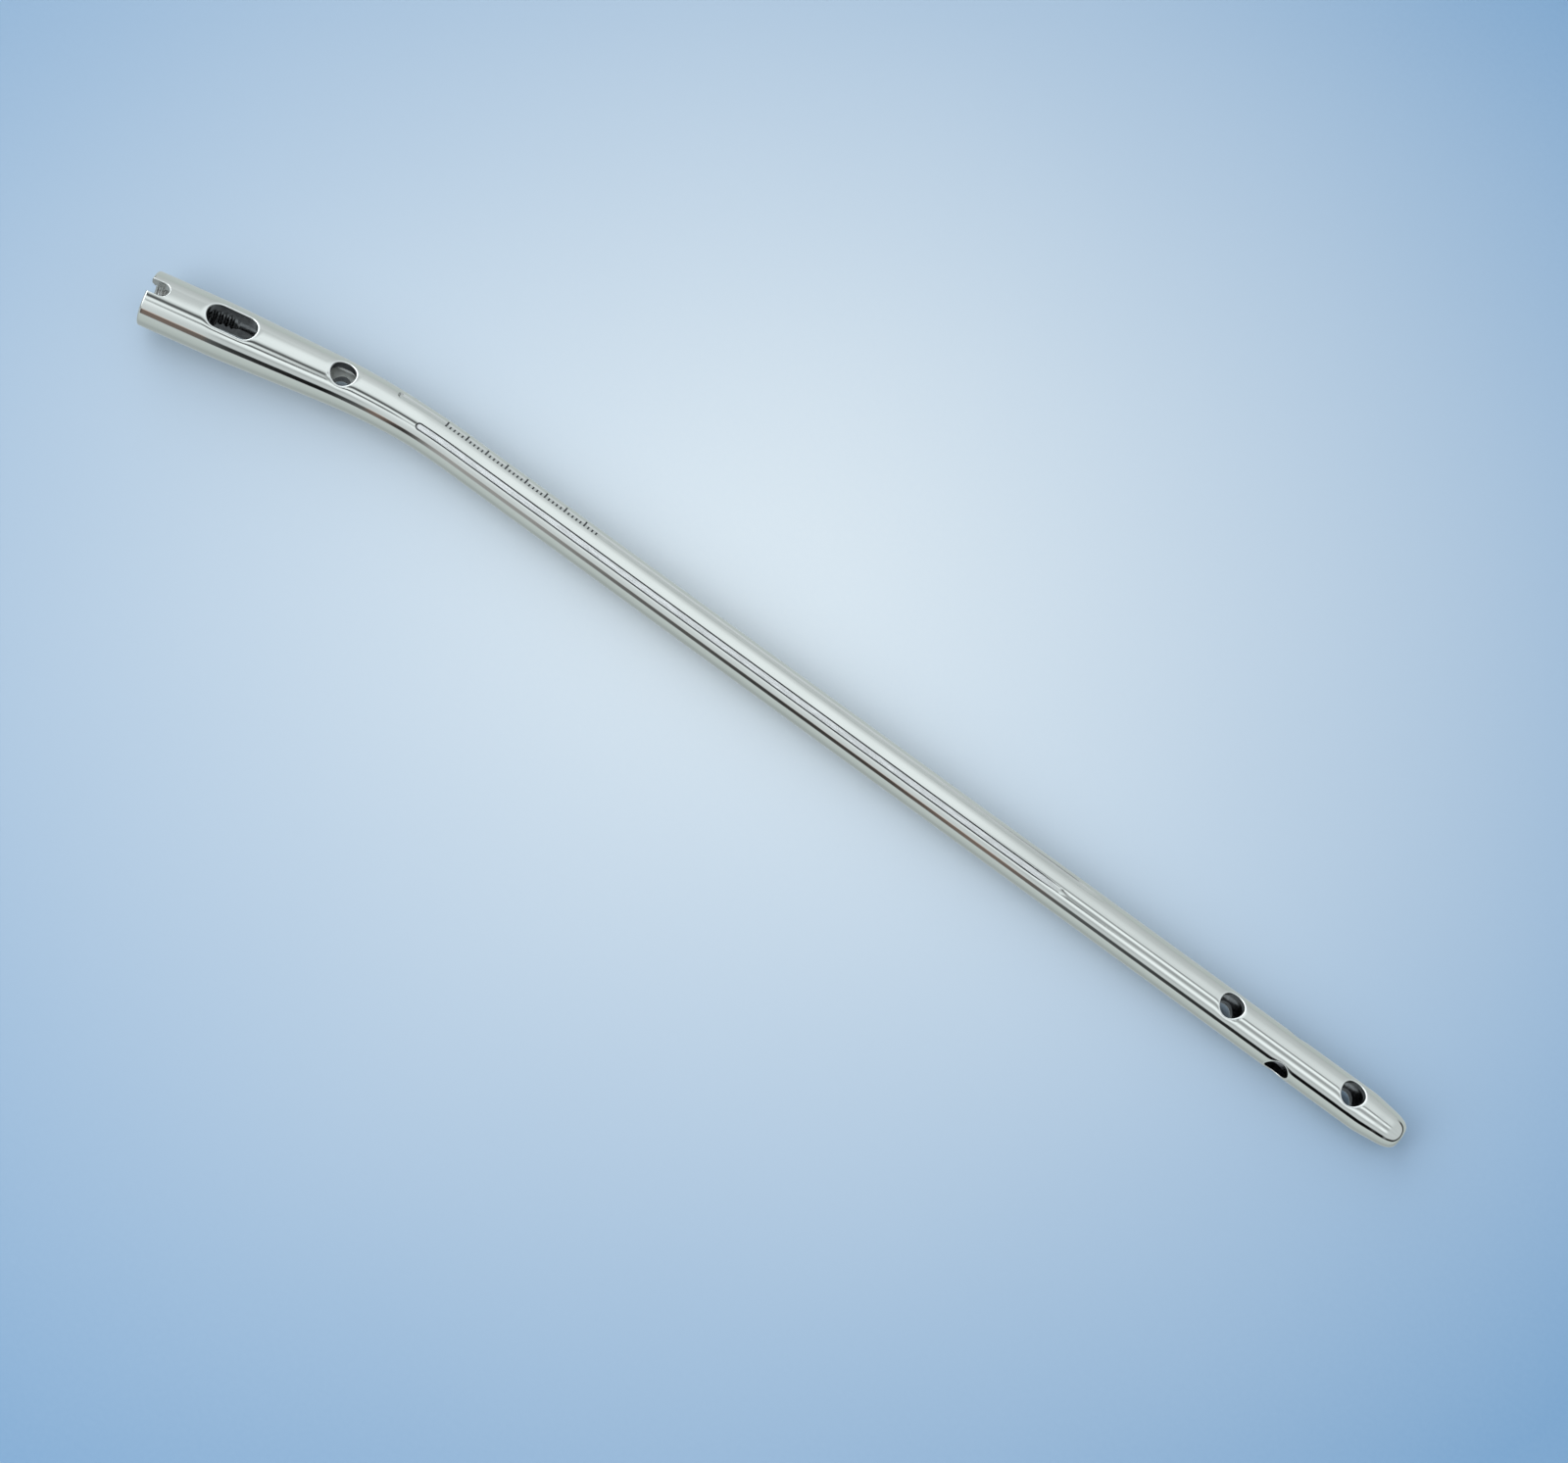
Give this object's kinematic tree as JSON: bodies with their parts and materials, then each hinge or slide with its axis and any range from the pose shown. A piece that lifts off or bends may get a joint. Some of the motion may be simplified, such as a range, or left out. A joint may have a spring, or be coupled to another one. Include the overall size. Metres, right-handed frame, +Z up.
{
  "type": "intramedullary nail",
  "caption": "bent hollow bone nail with a thicker threaded head, oblong slot, round cross holes for locking bolts, shallow flutes along the shaft and a tapered open nose",
  "frame": {"origin": "middle of the bounding box on the surface the nail lies on", "axes": "+X runs along the nail from the head to the nose, +Y across the nail to the outside of its bend, +Z up"},
  "size_m": [0.31, 0.0228, 0.0127],
  "materials": {
    "steel": "polished surgical steel, fine lengthwise polishing marks"
  },
  "bodies": {
    "root": {"tibial_nail": "steel"}
  },
  "joints": []
}
